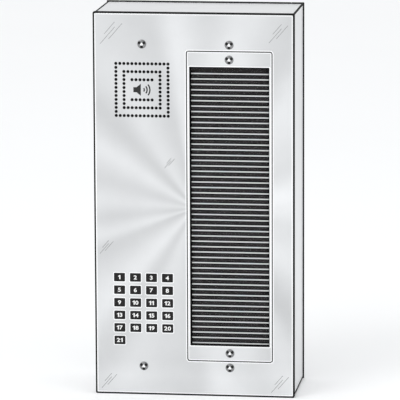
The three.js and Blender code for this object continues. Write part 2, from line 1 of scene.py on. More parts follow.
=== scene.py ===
"""The looks of the door intercom panel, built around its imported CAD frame.

Shapes are worked out in millimetres in the row frame: +X to the right, +Y into the wall, +Z up.
"""

import math

import bmesh
import bpy
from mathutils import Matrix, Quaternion, Vector
from mathutils.geometry import delaunay_2d_cdt


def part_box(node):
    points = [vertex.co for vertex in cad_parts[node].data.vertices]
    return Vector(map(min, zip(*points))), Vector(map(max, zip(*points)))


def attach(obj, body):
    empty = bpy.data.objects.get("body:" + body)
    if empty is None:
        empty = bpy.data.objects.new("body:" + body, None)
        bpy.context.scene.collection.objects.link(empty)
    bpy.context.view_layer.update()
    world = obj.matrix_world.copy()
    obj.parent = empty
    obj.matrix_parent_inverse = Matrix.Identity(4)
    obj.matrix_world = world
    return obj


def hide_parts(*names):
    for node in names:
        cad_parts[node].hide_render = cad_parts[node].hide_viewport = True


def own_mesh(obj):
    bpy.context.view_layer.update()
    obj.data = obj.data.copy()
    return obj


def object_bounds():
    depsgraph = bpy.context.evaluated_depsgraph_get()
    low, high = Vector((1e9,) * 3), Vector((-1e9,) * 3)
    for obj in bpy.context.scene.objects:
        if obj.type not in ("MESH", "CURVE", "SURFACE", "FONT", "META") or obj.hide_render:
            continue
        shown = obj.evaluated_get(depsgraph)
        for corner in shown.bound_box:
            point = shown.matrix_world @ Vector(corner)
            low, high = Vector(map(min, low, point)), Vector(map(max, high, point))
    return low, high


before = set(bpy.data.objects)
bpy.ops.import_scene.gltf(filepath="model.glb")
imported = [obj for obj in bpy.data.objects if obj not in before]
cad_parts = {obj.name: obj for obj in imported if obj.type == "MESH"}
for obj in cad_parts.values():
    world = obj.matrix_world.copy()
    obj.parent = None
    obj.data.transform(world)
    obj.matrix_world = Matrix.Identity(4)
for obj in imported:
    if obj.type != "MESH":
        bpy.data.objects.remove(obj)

MM = 0.001
SCENE = bpy.context.scene
cad_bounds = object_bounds()


# ---------------------------------------------------------------- places from the frame


class Extent:
    """A CAD node's box at rest, in millimetres."""

    def __init__(self, node):
        low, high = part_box(node)
        self.x0, self.front, self.z0 = (v / MM for v in low)
        self.x1, self.rear, self.z1 = (v / MM for v in high)
        self.x = (self.x0 + self.x1) / 2
        self.z = (self.z0 + self.z1) / 2
        self.w = self.x1 - self.x0
        self.h = self.z1 - self.z0


def numbered(stem, count, digits=1):
    return [f"{stem}_{i + 1:0{digits}d}" for i in range(count)]


KEY_COUNT = 21
KEY_CAP = (12.3, 9.4)
KEY_CLEARANCE = 0.2
KEY_LIP_GROW = 1.2

PANEL = Extent("front_panel")
FRAME = Extent("directory_frame")
PLATE_FRONT, PLATE_REAR = FRAME.front, FRAME.rear
HOLDER = Extent("strip_holder")
STRIPS = Extent("name_strips")
BASKET = Extent("speaker_basket")
BOX = Extent("back_box")
KEYS = numbered("button", KEY_COUNT, 2)
PANEL_SCREWS = [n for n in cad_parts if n.startswith("panel_screw")]
DIRECTORY_SCREWS = [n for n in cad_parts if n.startswith("directory_screw")]
SPEAKER_NUTS = numbered("speaker_nut", 4)
BOARD_NUTS = numbered("board_nut", 4)

WINDOW_OPENING = (94.0, 331.8)
FRAME_GAP = 0.9
FRAME_TRIM = 0.25  # how much smaller than its CAD node the frame's outline is, for its cord
LIP_COVER = 0.35  # how far the panel seal's lip reaches over the panel's edge
SCREW_HOLE_R = 2.6
PANEL_EDGE = 0.5
FRAME_EDGE = 0.3
HOLE_EDGE = 0.3
LAND = 0.9  # a polished land beside an edge, its colour painted bright as a highlight line
NARROW = 1.3  # a band of a side that is narrower than this is polished with its edges, painted bright as a highlight
GRILLE_PITCH = 4.73
GRILLE_HOLE_R = 1.75
GRILLE_RINGS = ((14, True), (10, True), (6, False))

CARD_FRONT = STRIPS.front + 0.2
CARD_MARGIN = 1.1
RAIL_COUNT = 51
RAIL_PITCH = 6.42
RAIL_TOP_GAP = 8.7
RAIL_SIZE = (91.2, 1.4)
FIRST_RAIL_Z = FRAME.z + WINDOW_OPENING[1] / 2 - RAIL_TOP_GAP
RAIL_Z = [FIRST_RAIL_Z - i * RAIL_PITCH for i in range(RAIL_COUNT)]


# ---------------------------------------------------------------- outlines, made by how far they grow


def rectangle(x, z, w, h, corner=0.5, steps=4):
    def outline(grow):
        r = max(corner + grow, 0.3)
        points = []
        for quarter, (sx, sz) in enumerate(((1, -1), (1, 1), (-1, 1), (-1, -1))):
            cx = x + sx * (w / 2 + grow - r)
            cz = z + sz * (h / 2 + grow - r)
            for i in range(steps + 1):
                angle = math.pi / 2 * (quarter - 1 + i / steps)
                points.append((cx + r * math.cos(angle), cz + r * math.sin(angle)))
        return points

    return outline


def circle(x, z, r, sides=24, turn=0.0):
    def outline(grow):
        angles = [turn + 2 * math.pi * i / sides for i in range(sides)]
        return [(x + (r + grow) * math.cos(a), z + (r + grow) * math.sin(a)) for a in angles]

    return outline


def fixed(points):
    """An outline that doesn't grow."""
    return lambda grow: points


def fillet(points, radius, closed=False, steps=3):
    """Rounds the corners of a line of points, each over less than half of its shorter side."""
    rounded = []
    for i, point in enumerate(points):
        if not closed and i in (0, len(points) - 1):
            rounded.append(point)
            continue
        before, corner, after = (Vector(points[j % len(points)]) for j in (i - 1, i, i + 1))
        reach = min(radius, 0.45 * (before - corner).length, 0.45 * (after - corner).length)
        start = corner + (before - corner).normalized() * reach
        end = corner + (after - corner).normalized() * reach
        for k in range(steps + 1):
            t = k / steps
            rounded.append(tuple(start.lerp(corner, t).lerp(corner.lerp(end, t), t)))
    return rounded


# ---------------------------------------------------------------- meshes


def ring(bm, points, y):
    return [bm.verts.new((x * MM, y * MM, z * MM)) for x, z in points]


def bands(bm, rings, material=0):
    for first, second in zip(rings, rings[1:]):
        for i in range(len(first)):
            j = (i + 1) % len(first)
            bm.faces.new((first[i], second[i], second[j], first[j])).material_index = material


def cap(bm, outer, holes=(), material=0):
    """Closes a flat face between an outer ring and the rings of its holes."""
    rings = [outer, *holes]
    verts = [v for each in rings for v in each]
    flat = [Vector((v.co.x / MM, v.co.z / MM)) for v in verts]
    loops, first = [], 0
    for each in rings:
        loops.append(list(range(first, first + len(each))))
        first += len(each)
    _, _, triangles, origins, _, sources = delaunay_2d_cdt(flat, [], loops, 1, 1e-5)
    for triangle, source in zip(triangles, sources):
        if list(source) == [0]:
            corners = [verts[origins[i][0]] for i in triangle]
            bm.faces.new(corners).material_index = material


def edge_profile(front, rear, edge, steps=3, land=0.0):
    """(inset, y) pairs down the side of a plate, with both edges rounded and a land on its front."""
    quarter = [math.pi / 2 * i / steps for i in range(steps + 1)]
    top = [(edge * (1 - math.sin(a)), front + edge * (1 - math.cos(a))) for a in quarter]
    rear_edge = [(inset, front + rear - y) for inset, y in reversed(top)]
    return [(edge + land, front)] * bool(land) + top + rear_edge


def sides(bm, outline, profile, material=0, trim=0, grow=-1):
    """The rings of a side that follows (inset, y) pairs; for a hole, grow is 1.

    Its slanting and its narrow bands take the trim's material.
    """
    rings = [ring(bm, outline(grow * inset), y) for inset, y in profile]
    for i, ((inset, y), (next_inset, next_y)) in enumerate(zip(profile, profile[1:])):
        steps = (abs(next_inset - inset), abs(next_y - y))
        trimmed = min(steps) > 1e-3 or max(steps) < NARROW
        bands(bm, rings[i : i + 2], trim if trimmed else material)
    return rings


def stack(bm, outline, profile, holes=(), hole_profile=None, pockets=(), material=0, trim=0):
    """A solid with through holes, and with shallow painted pockets of (outline, depth, material).

    A hole is an outline, or a tuple of an outline, its profile and the materials of its wall and trim.
    """
    outer = sides(bm, outline, profile, material, trim)
    bores = []
    for hole in holes:
        plain = (hole, hole_profile or profile, material, trim)
        bores.append(sides(bm, *(hole if isinstance(hole, tuple) else plain), grow=1))
    mouths = []
    for pocket, depth, paint in pockets:
        front = profile[0][1]
        mouth, floor = ring(bm, pocket(0), front), ring(bm, pocket(0), front + depth)
        bands(bm, [mouth, floor], paint)
        cap(bm, floor, material=paint)
        mouths.append(mouth)
    cap(bm, outer[0], [b[0] for b in bores] + mouths, material)
    cap(bm, outer[-1], [b[-1] for b in bores], material)


def plate(bm, outline, front, rear, edge=0.3, steps=3, **details):
    stack(bm, outline, edge_profile(front, rear, edge, steps), **details)


def turned(bm, profile, x=0.0, z=0.0, sides=32, closed=False, material=0):
    """A solid of revolution about the depth axis, from (radius, y) pairs."""
    rings = []
    for r, y in profile:
        if r < 1e-6:
            rings.append([bm.verts.new((x * MM, y * MM, z * MM))])
        else:
            rings.append(ring(bm, circle(x, z, r, sides)(0), y))
    if closed:
        rings.append(rings[0])
    for first, second in zip(rings, rings[1:]):
        for i in range(sides):
            j = (i + 1) % sides
            corners = [first[i % len(first)], second[i % len(second)]]
            corners += [second[j % len(second)], first[j % len(first)]]
            corners = list(dict.fromkeys(corners))
            if len(corners) > 2:
                bm.faces.new(corners).material_index = material


def threaded(r, start, end, pitch=0.7, depth=0.22):
    """The (radius, y) pairs of a thread from start to end, as a row of ridges."""
    ridge = ((r - depth, 0.0), (r - depth, 0.15), (r, 0.45), (r, 0.65))
    turns = range(int((end - start) / pitch))
    return [(radius, start + (i + part) * pitch) for i in turns for radius, part in ridge]


def tube(bm, points, r, sides):
    """A round rod along a line of points, with flat ends."""
    path = [Vector(p) for p in points]
    rings = []
    side = Vector((1, 0, 0))
    for i, p in enumerate(path):
        along = (path[min(i + 1, len(path) - 1)] - path[max(i - 1, 0)]).normalized()
        side = (side - along * side.dot(along)).normalized()
        other = along.cross(side)
        angles = [2 * math.pi * k / sides for k in range(sides)]
        around = [p + r * (side * math.cos(a) + other * math.sin(a)) for a in angles]
        rings.append([bm.verts.new(v * MM) for v in around])
    bands(bm, rings)
    bm.faces.new(rings[0])
    bm.faces.new(rings[-1])


def mesh_of(bm, name):
    bmesh.ops.recalc_face_normals(bm, faces=bm.faces)
    mesh = bpy.data.meshes.new(name)
    bm.to_mesh(mesh)
    bm.free()
    return mesh


def piece(name, bm, materials, body="housing", replaces=(), sharp=32):
    return placed(name, finished(mesh_of(bm, name), materials, sharp), body, replaces)


def finished(mesh, materials, sharp=32):
    """Smooth shading with sharp edges, and the materials."""
    for m in materials if isinstance(materials, (list, tuple)) else [materials]:
        mesh.materials.append(m)
    mesh.polygons.foreach_set("use_smooth", [True] * len(mesh.polygons))
    mesh.set_sharp_from_angle(angle=math.radians(sharp))
    return mesh


def placed(name, mesh, body="housing", replaces=(), at=(0, 0, 0)):
    """Puts a finished mesh into the scene as a piece that rides on a body and stands for CAD nodes."""
    obj = bpy.data.objects.new(name, mesh)
    SCENE.collection.objects.link(obj)
    obj.location = [v * MM for v in at]
    weighted = obj.modifiers.new("Weighted normals", "WEIGHTED_NORMAL")
    weighted.keep_sharp = True
    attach(obj, body)
    if replaces:
        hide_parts(*replaces)
    return obj


def flat_piece(name, node, material, corner, edge=0.3, holes=()):
    """A flat piece that fills the box of a CAD node and stands for it."""
    e = Extent(node)
    bm = bmesh.new()
    plate(bm, rectangle(e.x, e.z, e.w, e.h, corner), e.front, e.rear, edge, holes=holes)
    piece(name, bm, material, replaces=[node])


def refined(node, material, edge=0.25):
    """Keeps a CAD node, with rounded edges and a better material."""
    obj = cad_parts[node]
    obj.data.materials.clear()
    obj.data.materials.append(material)
    bevel = obj.modifiers.new("Rounded edges", "BEVEL")
    bevel.width = edge * MM
    bevel.segments = 2
    bevel.limit_method = "ANGLE"
    bevel.angle_limit = math.radians(40)
    bevel.harden_normals = True
    return obj


# ---------------------------------------------------------------- materials


class Paint:
    """A node material: one Principled shader and what feeds it."""

    def __init__(self, name, color=(0.5, 0.5, 0.5), roughness=0.5, metallic=0.0, specular=0.5):
        self.material = bpy.data.materials.new(name)
        self.material.use_nodes = True
        self.tree = self.material.node_tree
        self.tree.nodes.clear()
        self.output = self.tree.nodes.new("ShaderNodeOutputMaterial")
        self.shader = self.tree.nodes.new("ShaderNodeBsdfPrincipled")
        self.link(self.shader.outputs[0], self.output.inputs["Surface"])
        self.shader.inputs["Base Color"].default_value = (*color, 1)
        self.shader.inputs["Roughness"].default_value = roughness
        self.shader.inputs["Metallic"].default_value = metallic
        self.shader.inputs["Specular IOR Level"].default_value = specular
        self.place = self.tree.nodes.new("ShaderNodeTexCoord").outputs["Object"]

    def link(self, source, target):
        self.tree.links.new(source, target)

    def node(self, kind, sockets=None, **settings):
        made = self.tree.nodes.new(kind)
        for key, value in settings.items():
            setattr(made, key, value)
        for key, value in (sockets or {}).items():
            if isinstance(value, bpy.types.NodeSocket):
                self.link(value, made.inputs[key])
            else:
                made.inputs[key].default_value = value
        return made

    def stretched(self, scale):
        """Object coordinates, scaled on each axis."""
        return self.node("ShaderNodeMapping", {"Vector": self.place, "Scale": scale}).outputs[0]

    def noise(self, scale, detail=3.0, stretch=(1, 1, 1), roughness=0.5):
        sockets = {"Vector": self.stretched(stretch), "Scale": scale}
        sockets |= {"Detail": detail, "Roughness": roughness}
        return self.node("ShaderNodeTexNoise", sockets).outputs[0]

    def cells(self, scale, output="Distance"):
        sockets = {"Vector": self.place, "Scale": scale}
        return self.node("ShaderNodeTexVoronoi", sockets).outputs[output]

    def waves(self, scale, direction):
        sockets = {"Vector": self.place, "Scale": scale}
        return self.node("ShaderNodeTexWave", sockets, bands_direction=direction).outputs["Fac"]

    def math(self, operation, a, b=0.0):
        return self.node("ShaderNodeMath", {0: a, 1: b}, operation=operation).outputs[0]

    def span(self, value, low, high, to_low=0.0, to_high=1.0):
        """value, from the range low to high, carried over to another range."""
        sockets = {"Value": value, "From Min": low, "From Max": high, "To Min": to_low, "To Max": to_high}
        return self.node("ShaderNodeMapRange", sockets).outputs[0]

    def ramp(self, value, stops, interpolation="LINEAR"):
        made = self.node("ShaderNodeValToRGB", {0: value})
        elements = made.color_ramp.elements
        made.color_ramp.interpolation = interpolation
        while len(elements) < len(stops):
            elements.new(1.0)
        for element, (position, color) in zip(elements, stops):
            element.position = position
            grey = isinstance(color, (int, float))
            element.color = (color, color, color, 1) if grey else (*color, 1)
        return made.outputs[0]

    def mix(self, factor, a, b, blend="MIX"):
        made = self.node("ShaderNodeMix", data_type="RGBA", blend_type=blend)
        for socket, value in ((made.inputs[0], factor), (made.inputs[6], a), (made.inputs[7], b)):
            if isinstance(value, bpy.types.NodeSocket):
                self.link(value, socket)
            else:
                socket.default_value = value if socket == made.inputs[0] else (*value, 1)
        return made.outputs[2]

    def color(self, source):
        self.link(source, self.shader.inputs["Base Color"])

    def rough(self, source):
        self.link(source, self.shader.inputs["Roughness"])

    def bump(self, height, depth_mm, strength=1.0):
        sockets = {"Height": height, "Distance": depth_mm * MM, "Strength": strength}
        made = self.node("ShaderNodeBump", sockets)
        self.link(made.outputs[0], self.shader.inputs["Normal"])


PANEL_TONE = (0.918, 0.926, 0.935)
FRAME_TONE = (0.845, 0.852, 0.860)
BOX_TONE = (0.92, 0.925, 0.935)
# Painted sheen round the panel's middle: highlight sweeps painted into the colour, as angle in degrees from
# +X, and brightness.
PAINTED_SHEEN = (
    (0, 0.8), (8, 1.0), (24, 0.45), (48, 0.75), (62, 0.1), (77, 0.75), (86, 0.35),
    (96, 0.75), (104, 0.15), (122, 0.5), (134, 0.05), (148, 0.65), (163, 0.2), (176, 0.5),
    (187, 0.15), (197, 0.55), (205, 0.05), (227, 0.7), (239, 0.15), (249, 0.5), (270, 0.15),
    (278, 0.75), (289, 0.35), (301, 0.6), (311, 0.0), (331, 0.75), (350, 0.45), (360, 0.8),
)
PAINTED_SHEEN_DEPTH = 0.27
PAINTED_SHEEN_CENTRE = (1.3, -2.8)


def wedge_sheen(paint):
    """Painted sheen: brightness by the angle about the middle of the panel, painted a little brighter along
    its bottom.
    """
    axes = paint.node("ShaderNodeSeparateXYZ", {0: paint.place})
    right = paint.math("SUBTRACT", axes.outputs["X"], PAINTED_SHEEN_CENTRE[0] * MM)
    up = paint.math("SUBTRACT", axes.outputs["Z"], PAINTED_SHEEN_CENTRE[1] * MM)
    angle = paint.math("ARCTAN2", up, right)
    turn = paint.math("FRACT", paint.math("ADD", paint.math("DIVIDE", angle, 2 * math.pi), 1.0))
    stops = [(degrees / 360, 1 - PAINTED_SHEEN_DEPTH * (1 - level)) for degrees, level in PAINTED_SHEEN]
    # The painted highlight sweeps, times a painted brightening along the panel's bottom.
    rise_from, rise_to = PANEL.z0 + 41.5, PANEL.z0 + 21.5
    rise = paint.span(axes.outputs["Z"], rise_from * MM, rise_to * MM, 0.92, 1.0)
    return paint.mix(1.0, paint.ramp(turn, stops, "EASE"), rise, "MULTIPLY")


def band_sheen(paint):
    """Painted sheen across the directory frame: a soft painted highlight band down its middle."""
    axes = paint.node("ShaderNodeSeparateXYZ", {0: paint.place})
    across = paint.span(axes.outputs["X"], FRAME.x0 * MM, FRAME.x1 * MM)
    return paint.ramp(across, ((0.0, 0.81), (0.42, 0.95), (0.6, 0.93), (1.0, 0.78)), "EASE")


def box_sheen(paint):
    """Painted light and shade over the box: painted highlights near its front and rear edges, painted shade
    on its top and back.
    """
    axes = paint.node("ShaderNodeSeparateXYZ", {0: paint.place})
    depth = paint.span(axes.outputs["Y"], BOX.front * MM, BOX.rear * MM)
    # Along the depth: painted highlights at the front and rear edges, painted shade on the back face.
    stops = ((0.0, 0.93), (0.07, 0.86), (0.86, 0.85), (0.95, 1.0), (0.99, 1.0), (1.0, 0.66))
    along = paint.ramp(depth, stops)
    # Painted shade on the top face.
    top = paint.span(axes.outputs["Z"], (BOX.z1 - 0.4) * MM, (BOX.z1 - 0.1) * MM, 1.0, 0.95)
    return paint.mix(1.0, along, paint.ramp(top, ((0.0, 0.0), (1.0, 1.0))), "MULTIPLY")


def brushed_steel(name, tone, sheen, grain=(9, 9, 0.12), roughness=0.34):
    """Satin stainless sheet with a painted sheen. grain has its smallest scale along the brushing."""
    paint = Paint(name, tone, roughness, metallic=1.0)
    lines = paint.noise(1000, 2, grain, 0.6)
    clouds = paint.noise(22, 4)
    base = paint.mix(paint.span(clouds, 0.3, 0.7), [0.965 * v for v in tone], [1.02 * v for v in tone])
    fine = paint.mix(1.0, base, paint.ramp(lines, ((0.25, 0.955), (0.75, 1.0))), "MULTIPLY")
    paint.color(paint.mix(1.0, fine, sheen(paint), "MULTIPLY"))
    smears = paint.noise(9, 5)
    streaks = paint.span(lines, 0.2, 0.8, -0.05, 0.05)
    patches = paint.span(smears, 0.3, 0.7, roughness - 0.03, roughness + 0.04)
    paint.rough(paint.math("ADD", streaks, patches))
    paint.bump(lines, 0.012, 0.35)
    return paint.material


def polished_edge(name):
    """A polished edge, its colour painted brighter than the sheet's as a highlight line."""
    paint = Paint(name, (0.97, 0.975, 0.98), 0.16, metallic=1.0)
    nicks = paint.noise(400, 4)
    paint.color(paint.mix(paint.span(nicks, 0.5, 0.8), (0.98, 0.985, 0.99), (0.90, 0.905, 0.91)))
    paint.rough(paint.span(nicks, 0.3, 0.8, 0.12, 0.26))
    paint.bump(nicks, 0.01, 0.3)
    return paint.material


def turned_steel(name):
    """Dark screw steel whose dark tone also stands in as painted shade on the head's cone, with faint rings
    from the lathe about its own axis.
    """
    paint = Paint(name, (0.28, 0.282, 0.285), 0.3, metallic=1.0)
    rings = paint.node(
        "ShaderNodeTexWave",
        {"Vector": paint.place, "Scale": 900.0, "Distortion": 0.6},
        wave_type="RINGS",
        rings_direction="Y",
    ).outputs["Fac"]
    grime = paint.noise(500, 3)
    paint.color(paint.mix(paint.span(grime, 0.35, 0.7), (0.24, 0.242, 0.245), (0.32, 0.322, 0.325)))
    paint.rough(paint.span(rings, 0, 1, 0.24, 0.36))
    paint.bump(rings, 0.01, 0.4)
    return paint.material


def zinc(name):
    """Bright zinc plate with faint crystals and a bluish cast."""
    paint = Paint(name, (0.62, 0.64, 0.66), 0.4, metallic=1.0)
    crystals = paint.cells(240, output="Color")
    clouds = paint.noise(60, 4)
    paint.color(paint.mix(clouds, (0.52, 0.54, 0.57), (0.72, 0.73, 0.74)))
    paint.rough(paint.span(paint.node("ShaderNodeRGBToBW", {0: crystals}).outputs[0], 0, 1, 0.3, 0.46))
    paint.bump(clouds, 0.02, 0.3)
    return paint.material


def extruded_aluminium(name):
    paint = Paint(name, (0.80, 0.80, 0.80), 0.42, metallic=0.6)
    lines = paint.noise(1000, 2, (0.1, 8, 8))
    paint.color(paint.ramp(lines, ((0.25, (0.69, 0.685, 0.685)), (0.75, (0.79, 0.785, 0.785)))))
    paint.rough(paint.span(lines, 0.2, 0.8, 0.36, 0.5))
    paint.bump(lines, 0.01, 0.4)
    return paint.material


def rubber(name, tone=0.012, pore=0.0, roughness=0.75):
    """Matt rubber with a dusty bloom; pore is the cell size of a foam."""
    paint = Paint(name, (tone,) * 3, roughness, specular=0.12)
    bloom = paint.noise(120, 5)
    paint.color(paint.ramp(bloom, ((0.35, tone), (0.75, 2.2 * tone))))
    paint.rough(paint.span(bloom, 0.3, 0.7, roughness - 0.08, roughness + 0.1))
    skin = paint.noise(2600, 3)
    if pore:
        skin = paint.cells(1 / (pore * MM))
    paint.bump(skin, 0.12 if pore else 0.03, 0.5)
    return paint.material


def moulded(name, color, roughness=0.42, texture=1500, relief=0.03, variation=0.25, specular=0.5):
    """Moulded plastic with a fine spark-eroded texture."""
    paint = Paint(name, color, roughness, specular=specular)
    clouds = paint.noise(90, 4)
    light = [min(1.0, v * (1 + variation) + 0.004) for v in color]
    paint.color(paint.mix(paint.span(clouds, 0.35, 0.7), color, light))
    grain = paint.noise(texture, 4, roughness=0.65)
    paint.rough(paint.span(clouds, 0.3, 0.7, roughness - 0.05, roughness + 0.07))
    paint.bump(grain, relief, 0.35)
    return paint.material


def silicone(name):
    paint = Paint(name, (0.50, 0.53, 0.54), 0.55)
    clouds = paint.noise(70, 4)
    paint.color(paint.mix(clouds, (0.44, 0.47, 0.49), (0.60, 0.63, 0.64)))
    paint.shader.inputs["Subsurface Weight"].default_value = 0.15
    paint.shader.inputs["Subsurface Radius"].default_value = (0.002, 0.002, 0.002)
    paint.rough(paint.span(clouds, 0.3, 0.7, 0.48, 0.64))
    paint.bump(paint.noise(1800, 3), 0.02, 0.4)
    return paint.material


def circuit_board(name):
    """Green solder mask with copper tracks that show through it as lighter lines."""
    paint = Paint(name, (0.012, 0.10, 0.05), 0.32)
    flat = paint.node("ShaderNodeMapping", {"Vector": paint.place, "Rotation": (math.pi / 2, 0, 0)})
    blocks = {"Vector": flat.outputs[0], "Scale": 170.0, "Mortar Size": 0.06, "Mortar Smooth": 0.2}
    tracks = paint.node("ShaderNodeTexBrick", blocks).outputs["Fac"]
    weave = paint.noise(900, 3)
    base = paint.mix(weave, (0.010, 0.085, 0.042), (0.018, 0.13, 0.065))
    paint.color(paint.mix(paint.math("MULTIPLY", tracks, 0.75), base, (0.05, 0.28, 0.12)))
    paint.rough(paint.span(weave, 0.2, 0.8, 0.26, 0.40))
    paint.bump(tracks, 0.04, 0.6)
    return paint.material


def clear_window(name):
    """Clear plastic, coated against reflections, that lets lamps through to what is behind it."""
    paint = Paint(name, (0.97, 0.98, 0.98), 0.03)
    paint.shader.inputs["Transmission Weight"].default_value = 1.0
    paint.shader.inputs["IOR"].default_value = 1.08
    paint.shader.inputs["Specular IOR Level"].default_value = 0.1
    haze = paint.noise(40, 5)
    paint.rough(paint.span(haze, 0.35, 0.75, 0.015, 0.05))
    shadow_rays = paint.node("ShaderNodeLightPath").outputs["Is Shadow Ray"]
    clear = paint.node("ShaderNodeBsdfTransparent", {"Color": (0.93, 0.94, 0.94, 1)}).outputs[0]
    mixed = paint.node("ShaderNodeMixShader", {0: shadow_rays, 1: paint.shader.outputs[0], 2: clear})
    paint.link(mixed.outputs[0], paint.output.inputs["Surface"])
    return paint.material


def black_card(name, dark, light):
    """Black card with a satin face and faint fibres along it; each card a little different."""
    paint = Paint(name, dark, 0.55, specular=0.1)
    fibres = paint.noise(900, 4, (0.25, 2, 2))
    each = paint.node("ShaderNodeNewGeometry").outputs["Random Per Island"]
    shade = paint.mix(each, dark, light)
    paint.color(paint.mix(1.0, shade, paint.ramp(fibres, ((0.3, 0.9), (0.75, 1.0))), "MULTIPLY"))
    paint.rough(paint.span(fibres, 0.2, 0.8, 0.5, 0.62))
    paint.bump(fibres, 0.01, 0.3)
    return paint.material


def woven_screen(name):
    """Fine black cloth: threads both ways, half a millimetre apart."""
    paint = Paint(name, (0.015, 0.015, 0.015), 0.85)
    across, down = paint.waves(620, "X"), paint.waves(620, "Z")
    weave = paint.math("MULTIPLY", across, down)
    paint.color(paint.ramp(weave, ((0.0, 0.004), (0.6, 0.022), (1.0, 0.035))))
    paint.shader.inputs["Sheen Weight"].default_value = 0.2
    paint.bump(weave, 0.15, 0.7)
    return paint.material


def pressed_paper(name, tone=(0.035, 0.033, 0.031)):
    """Grey-black pulp with short fibres."""
    paint = Paint(name, tone, 0.9)
    fibres = paint.noise(700, 6, roughness=0.7)
    paint.color(paint.mix(fibres, [0.6 * v for v in tone], [1.7 * v for v in tone]))
    paint.bump(fibres, 0.06, 0.6)
    return paint.material


def ferrite(name):
    paint = Paint(name, (0.035, 0.035, 0.038), 0.55, specular=0.6)
    grain = paint.noise(1400, 5)
    chips = paint.cells(420)
    paint.color(paint.ramp(grain, ((0.3, 0.022), (0.8, 0.06))))
    paint.rough(paint.span(chips, 0, 0.6, 0.65, 0.42))
    paint.bump(grain, 0.05, 0.5)
    return paint.material


def plain_paint(name, color, roughness=0.5):
    """A thin coat of paint with slight wear."""
    paint = Paint(name, color, roughness)
    wear = paint.noise(900, 5)
    paint.color(paint.mix(paint.span(wear, 0.45, 0.75), color, [0.86 * v for v in color]))
    paint.rough(paint.span(wear, 0.3, 0.7, roughness - 0.06, roughness + 0.08))
    paint.bump(wear, 0.01, 0.3)
    return paint.material


def pale_floor(name):
    paint = Paint(name, (0.92, 0.92, 0.92), 0.9)
    paint.color(paint.mix(paint.noise(3, 2), (0.915, 0.918, 0.92), (0.93, 0.932, 0.934)))
    return paint.material


STEEL_PANEL = brushed_steel("brushed_stainless_panel", PANEL_TONE, wedge_sheen)
STEEL_FRAME = brushed_steel("brushed_stainless_frame", FRAME_TONE, band_sheen)
STEEL_BOX = brushed_steel("brushed_stainless_box", BOX_TONE, box_sheen, (9, 0.12, 9))
# Polished edges and lands, their colour painted brighter as highlight lines.
POLISHED_HIGHLIGHT = polished_edge("polished_steel_painted_highlight")
# Screw steel, darkened as painted shade on the heads.
STEEL_SCREW = turned_steel("turned_stainless")
ZINC = zinc("bright_zinc")
ALUMINIUM = extruded_aluminium("extruded_aluminium")
SEAL_RUBBER = rubber("black_seal_rubber", 0.008)
FOAM = rubber("black_foam", 0.012, pore=0.35)
KEY_BLACK = moulded("button_black", (0.009, 0.0085, 0.0085), 0.5, specular=0.2)
# Painted shade in the screw heads' recesses.
RECESS_SHADE_BLACK = plain_paint("recess_painted_shade", (0.006, 0.006, 0.006), 0.7)
KEY_WHITE = plain_paint("numeral_white", (0.88, 0.88, 0.87), 0.45)
# Black infill of the engraved sign, and painted shade on the walls of the openings and grille holes.
INFILL_AND_SHADE_BLACK = plain_paint("engraving_black_and_painted_shade", (0.008, 0.008, 0.008), 0.6)
# Grey hairlines, painted as glint marks on the panel.
GLINT_SCRATCH_GREY = plain_paint("glint_scratch_grey", (0.22, 0.22, 0.225), 0.5)
GUIDE_BLACK = moulded("guide_black", (0.02, 0.02, 0.02), 0.5)
TERMINAL_GREEN = moulded("terminal_green", (0.03, 0.20, 0.09), 0.38)
SILICONE = silicone("grey_silicone")
BOARD_GREEN = circuit_board("board_green")
CLEAR = clear_window("clear_window")
CARRIER = black_card("black_card_carrier", (0.001, 0.001, 0.001), (0.002, 0.002, 0.002))
CARD = black_card("black_name_card", (0.024, 0.0215, 0.022), (0.028, 0.025, 0.026))
CLOTH = woven_screen("woven_screen")
PULP = pressed_paper("cone_pulp")
FERRITE = ferrite("ferrite")
LEAD_GREY = moulded("lead_grey", (0.16, 0.17, 0.18), 0.45)


# ---------------------------------------------------------------- front panel


def grille_holes():
    """Three square rings of holes; the innermost keeps only its top and bottom rows."""
    holes = []
    for side, flanks in GRILLE_RINGS:
        for row in range(side):
            for column in range(side):
                end_row, end_column = row in (0, side - 1), column in (0, side - 1)
                if not (end_row or (flanks and end_column)):
                    continue
                x = BASKET.x + (column - (side - 1) / 2) * GRILLE_PITCH
                z = BASKET.z + (row - (side - 1) / 2) * GRILLE_PITCH
                holes.append(circle(x, z, GRILLE_HOLE_R, 20))
    return holes


def arc_band(x, z, r, width, half_angle, steps=14):
    """A curved bar about a centre, open to the right."""
    angles = [math.radians(half_angle) * (2 * i / steps - 1) for i in range(steps + 1)]
    outer = [(x + (r + width) * math.cos(a), z + (r + width) * math.sin(a)) for a in angles]
    inner = [(x + r * math.cos(a), z + r * math.sin(a)) for a in reversed(angles)]
    return outer + inner


def loudspeaker_sign(x, z, s=1.15):
    """A generic loudspeaker with three waves."""
    horn = [(-8.5, -2.6), (-5.2, -2.6), (-0.8, -6.2), (-0.8, 6.2), (-5.2, 2.6), (-8.5, 2.6)]
    signs = [fixed([(x + s * px, z + s * pz) for px, pz in horn])]
    for r in (2.0, 4.9, 7.8):
        signs.append(fixed(arc_band(x, z, s * r, s * 1.4, 40)))
    return signs


# Painted glint marks: grey hairlines let into the panel's face.
GLINT_SCRATCH_W = 0.5
GLINT_SCRATCH_ANGLE = math.radians(49)
GLINT_SCRATCH_DEPTH = 0.12
# Within a group, each glint mark's offset from its middle and its length.
GLINT_SCRATCHES = ((-2.1, 5.5, 19.0), (-4.6, -3.4, 27.0), (4.8, 1.6, 25.0))
GLINT_SCRATCH_GROUPS = (
    (-96.5, 203.5, 1.0),
    (100.0, 205.0, 0.85),
    (-28.5, 50.5, 0.45),
    (-104.0, -51.0, 0.62),
    (-102.0, -212.0, 0.7),
    (101.5, -211.5, 0.8),
)


